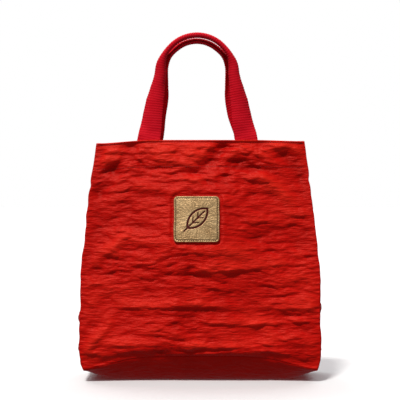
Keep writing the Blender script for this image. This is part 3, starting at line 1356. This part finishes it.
def make_side_binding(side, end, body):
    """The tape stands out from a side seam, into the bag."""
    d, z = np.meshgrid(spaced(0, BINDING_WIDTH, 0.75), spaced(BINDING_LOW, BINDING_HIGH, 2.5))
    corner, inward = wall_point(side, end * seam_x(z), z), seam_inward(side, end, z)
    through = np.stack([-inward[..., 1], inward[..., 0], 0 * z], -1)
    stand_off = 2.6 + 5.4 * share(z, BINDING_LOW, BINDING_HIGH) ** 1.5
    ripple = 0.5 * noise(z / 12, d / 9 + end, 141 + side) + 0.8 * noise(z / 40, 0.5 + end, 142 + side)
    ripple = ripple * share(d, 0, 6)
    points = corner + inward * (stand_off + d)[..., None] + through * (0.6 + ripple)[..., None]
    name = f"{WALL[side]}_{HAND[end]}"
    thickness = 0.9 - 0.3 * bump(d - 5.6, 0.8)
    tape = cloth_piece(f"{name}_binding_tape", keep_inside(points, 1.1), d, z, thickness)
    stand_for(tape, "tape", f"{name}_seam_binding", body)


def base_outline(inset, corner, count):
    """The rounded rectangle that the base binding follows, and its inward directions."""
    reach_x, reach_y = FOOT_HALF - inset, BASE_HALF_DEPTH - inset
    path, inwards = [], []
    turns = [(-math.pi / 2, 1, -1), (0, 1, 1), (math.pi / 2, -1, 1), (math.pi, -1, -1)]
    for start, sx, sy in turns:
        for t in np.linspace(0, math.pi / 2, 12):
            path.append((sx * (reach_x - corner) + corner * math.cos(start + t),
                         sy * (reach_y - corner) + corner * math.sin(start + t)))
            inwards.append((-math.cos(start + t), -math.sin(start + t)))
    path, inwards = np.array(path + path[:1]), np.array(inwards + inwards[:1])
    run = run_along(path)
    at = np.linspace(0, run[-1], count, endpoint=False)
    return points_at(at, run, path), unit(points_at(at, run, inwards)), at


def make_base_binding():
    inset, thickness = 3.0, 1.1
    line, inward, run = base_outline(inset, 14.0, 360)
    heights = spaced(0, 6.5, 0.8)[:, None]
    seam_at = line * [FOOT_HALF / (FOOT_HALF - inset), BASE_HALF_DEPTH / (BASE_HALF_DEPTH - inset)]
    ripple = 0.5 * noise(run / 14, heights / 8, 151) * share(heights, 0, 5)
    x, y = (line[:, axis] + inward[:, axis] * (ripple + 0.8) for axis in (0, 1))
    z = base_height(*seam_at.T) + 2.0 + heights
    outer = keep_inside(np.stack([x, y, z], -1), 0.3)
    inner = outer + np.pad(inward, [(0, 0), (0, 1)]) * thickness
    rows, columns = x.shape
    count = rows * columns
    here = np.arange(columns)
    beside, top = np.roll(here, -1), (rows - 1) * columns
    low = np.stack([here, here + count, beside + count, beside], -1)
    high = np.stack([here, beside, beside + count, here + count], -1) + top
    side_faces = tube_faces(rows, columns)
    faces = np.concatenate([side_faces, side_faces[:, ::-1] + count, low, high])
    points = np.concatenate([outer.reshape(-1, 3), inner.reshape(-1, 3)])
    uv = np.stack(np.broadcast_arrays(heights, run), -1).reshape(-1, 2)
    tape = make_mesh("base_binding_tape", points, faces, np.concatenate([uv, uv]))
    stand_for(tape, "tape", "base_seam_binding", "bag")


for side, body in WALL_BODY.items():
    for end in HAND:
        make_side_binding(side, end, body)
make_base_binding()


# ------------------------------------------------------------------------- care label
def make_label():
    """A blank satin label along the back wall. Its free end stands off a little."""
    low, high = (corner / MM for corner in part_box("care_label"))
    x, z = np.meshgrid(spaced(low.x, high.x, 0.9)[::-1], spaced(low.z, high.z, 1.0))
    curl = 1.6 * share(x, low.x + 8, high.x) ** 2 + 0.25 * noise(x / 12, z / 9, 161)
    points = wall_point(1, x, z, CLOTH + 0.5 + np.maximum(curl, 0))
    points[..., 1] = np.minimum(points[..., 1], wall_point(1, x, z)[..., 1] - CLOTH - 0.4)
    label = cloth_piece("blank_label", points, x, z, 0.35)
    stand_for(label, "label", "care_label", "bag")


make_label()


# ------------------------------------------------------------------------------ snap
def make_disc(node, side, profile):
    """Turns a profile of (radius, height) about the CAD disc's own axis, inwards."""
    corners = np.array([v.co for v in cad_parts[node].data.vertices]) / MM
    centre = corners.mean(0)
    spread = np.linalg.svd(corners - centre)[2][2]
    axis = spread * math.copysign(1, -side * spread[1])
    heights = (corners - centre) @ axis
    back = centre + axis * heights.min()
    across = unit(np.cross(axis, [0, 0, 1.0]))
    upward = np.cross(across, axis)
    profile = rounded_profile(profile)
    sides = 64
    turn = 2 * math.pi * np.arange(sides) / sides
    ring = np.cos(turn)[:, None] * across + np.sin(turn)[:, None] * upward
    points = np.concatenate([back + axis * h + ring * r for r, h in profile])
    faces = tube_faces(len(profile), sides)[:, ::-1]
    stand_for(make_mesh(f"{node}_disc", points, faces), "metal", node, RIM_BODY[side])


def rounded_profile(profile, radius=0.35, steps=4):
    """Rounds the corners of a profile."""
    profile = [np.array(p, float) for p in profile]
    out = [profile[0]]
    for before, here, after in zip(profile, profile[1:], profile[2:]):
        into, away = before - here, after - here
        reach = min(radius, np.linalg.norm(into) / 2.2, np.linalg.norm(away) / 2.2)
        start = here + into / np.linalg.norm(into) * reach
        end = here + away / np.linalg.norm(away) * reach
        for t in np.linspace(0, 1, steps):
            out.append((1 - t) ** 2 * start + 2 * t * (1 - t) * here + t * t * end)
    return out + [profile[-1]]


MIDDLE = 0.02  # the radius at which a profile ends, just off its axis
RIM_PROFILE = [(MIDDLE, 0), (9, 0), (9, 1.9), (8.3, 2.4), (6.2, 2.4), (5.9, 2.1)]
SOCKET_PROFILE = RIM_PROFILE + [(4.4, 2.1), (4.1, 2.4), (3.7, 2.4), (3.7, 0.8), (MIDDLE, 0.8)]
STUD_PROFILE = RIM_PROFILE + [(4.6, 2.1), (4.3, 2.4), (3.4, 2.4), (3.4, 3.7), (3.0, 4.0), (MIDDLE, 4.0)]
make_disc("snap_socket", -1, SOCKET_PROFILE)
make_disc("snap_stud", 1, STUD_PROFILE)
for washer in ("snap_socket_washer", "snap_stud_washer"):
    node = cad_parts[washer]
    node.data.materials.clear()
    node.data.materials.append(LOOKS["metal"])


# ----------------------------------------------------------------------- the studio
def make_stage():
    reach = 30.0
    corners = [(-reach, -reach, 0), (reach, -reach, 0), (reach, reach, 0), (-reach, reach, 0)]
    floor_mesh = bpy.data.meshes.new("floor")
    floor_mesh.from_pydata(corners, [], [(0, 1, 2, 3)])
    floor = collection_link(bpy.data.objects.new("floor", floor_mesh))
    floor.location.z = CAD_BOX[0][2] - 0.0005
    n = Nodes("pale_floor")
    tone = n.ramp(n.noise(n.place(), 3, 2), [(0.3, 0.90), (0.7, 0.93)])
    floor_mesh.materials.append(n.finish(tone, 0.9, specular_ior_level=0.0))
    floor.visible_diffuse = False
    floor.visible_glossy = False


def make_world():
    """White behind the bag, and a dim pale blue light on it from everywhere."""
    world = bpy.data.worlds.new("studio")
    bpy.context.scene.world = world
    world.use_nodes = True
    tree = world.node_tree
    backdrop = tree.nodes["Background"]
    backdrop.inputs["Color"].default_value = (1, 1, 1, 1)
    backdrop.inputs["Strength"].default_value = 1.0
    ambient = tree.nodes.new("ShaderNodeBackground")
    ambient.inputs["Color"].default_value = (0.9, 0.95, 1, 1)
    ambient.inputs["Strength"].default_value = 0.19
    path = tree.nodes.new("ShaderNodeLightPath")
    mix = tree.nodes.new("ShaderNodeMixShader")
    tree.links.new(path.outputs["Is Camera Ray"], mix.inputs[0])
    tree.links.new(ambient.outputs[0], mix.inputs[1])
    tree.links.new(backdrop.outputs[0], mix.inputs[2])
    tree.links.new(mix.outputs[0], tree.nodes["World Output"].inputs[0])


def add_sun(name, azimuth, elevation, strength, angle, colour=(1, 1, 1)):
    """A soft light from the side that the azimuth names: 0 is the front, 90 the right."""
    data = bpy.data.lights.new(name, "SUN")
    data.energy, data.angle, data.color = strength, math.radians(angle), colour
    light = collection_link(bpy.data.objects.new(name, data))
    light.rotation_euler = (math.radians(90 - elevation), 0, math.radians(azimuth))


VIEW_DISTANCE, VIEW_WIDTH = 1.50, 0.5333
VIEW_MIDDLE = (-0.0005, -0.02, 0.238)


def make_camera():
    data = bpy.data.cameras.new("camera")
    data.lens = data.sensor_width * VIEW_DISTANCE / VIEW_WIDTH
    camera = collection_link(bpy.data.objects.new("camera", data))
    camera.location = Vector(VIEW_MIDDLE) - Vector((0, VIEW_DISTANCE, 0))
    camera.rotation_euler = (math.pi / 2, 0, 0)
    data.clip_start, data.clip_end = 0.1, 100
    bpy.context.scene.camera = camera


make_stage()
make_world()
add_sun("key", -26, 60, 2.35, 9, (1, 0.98, 0.96))
add_sun("fill", 10, 12, 0.08, 60)
add_sun("back_right", 150, 52, 0.9, 40)
add_sun("back_left", 215, 52, 1.1, 40)
make_camera()
bpy.context.scene.view_settings.view_transform = "Standard"

bpy.context.view_layer.update()
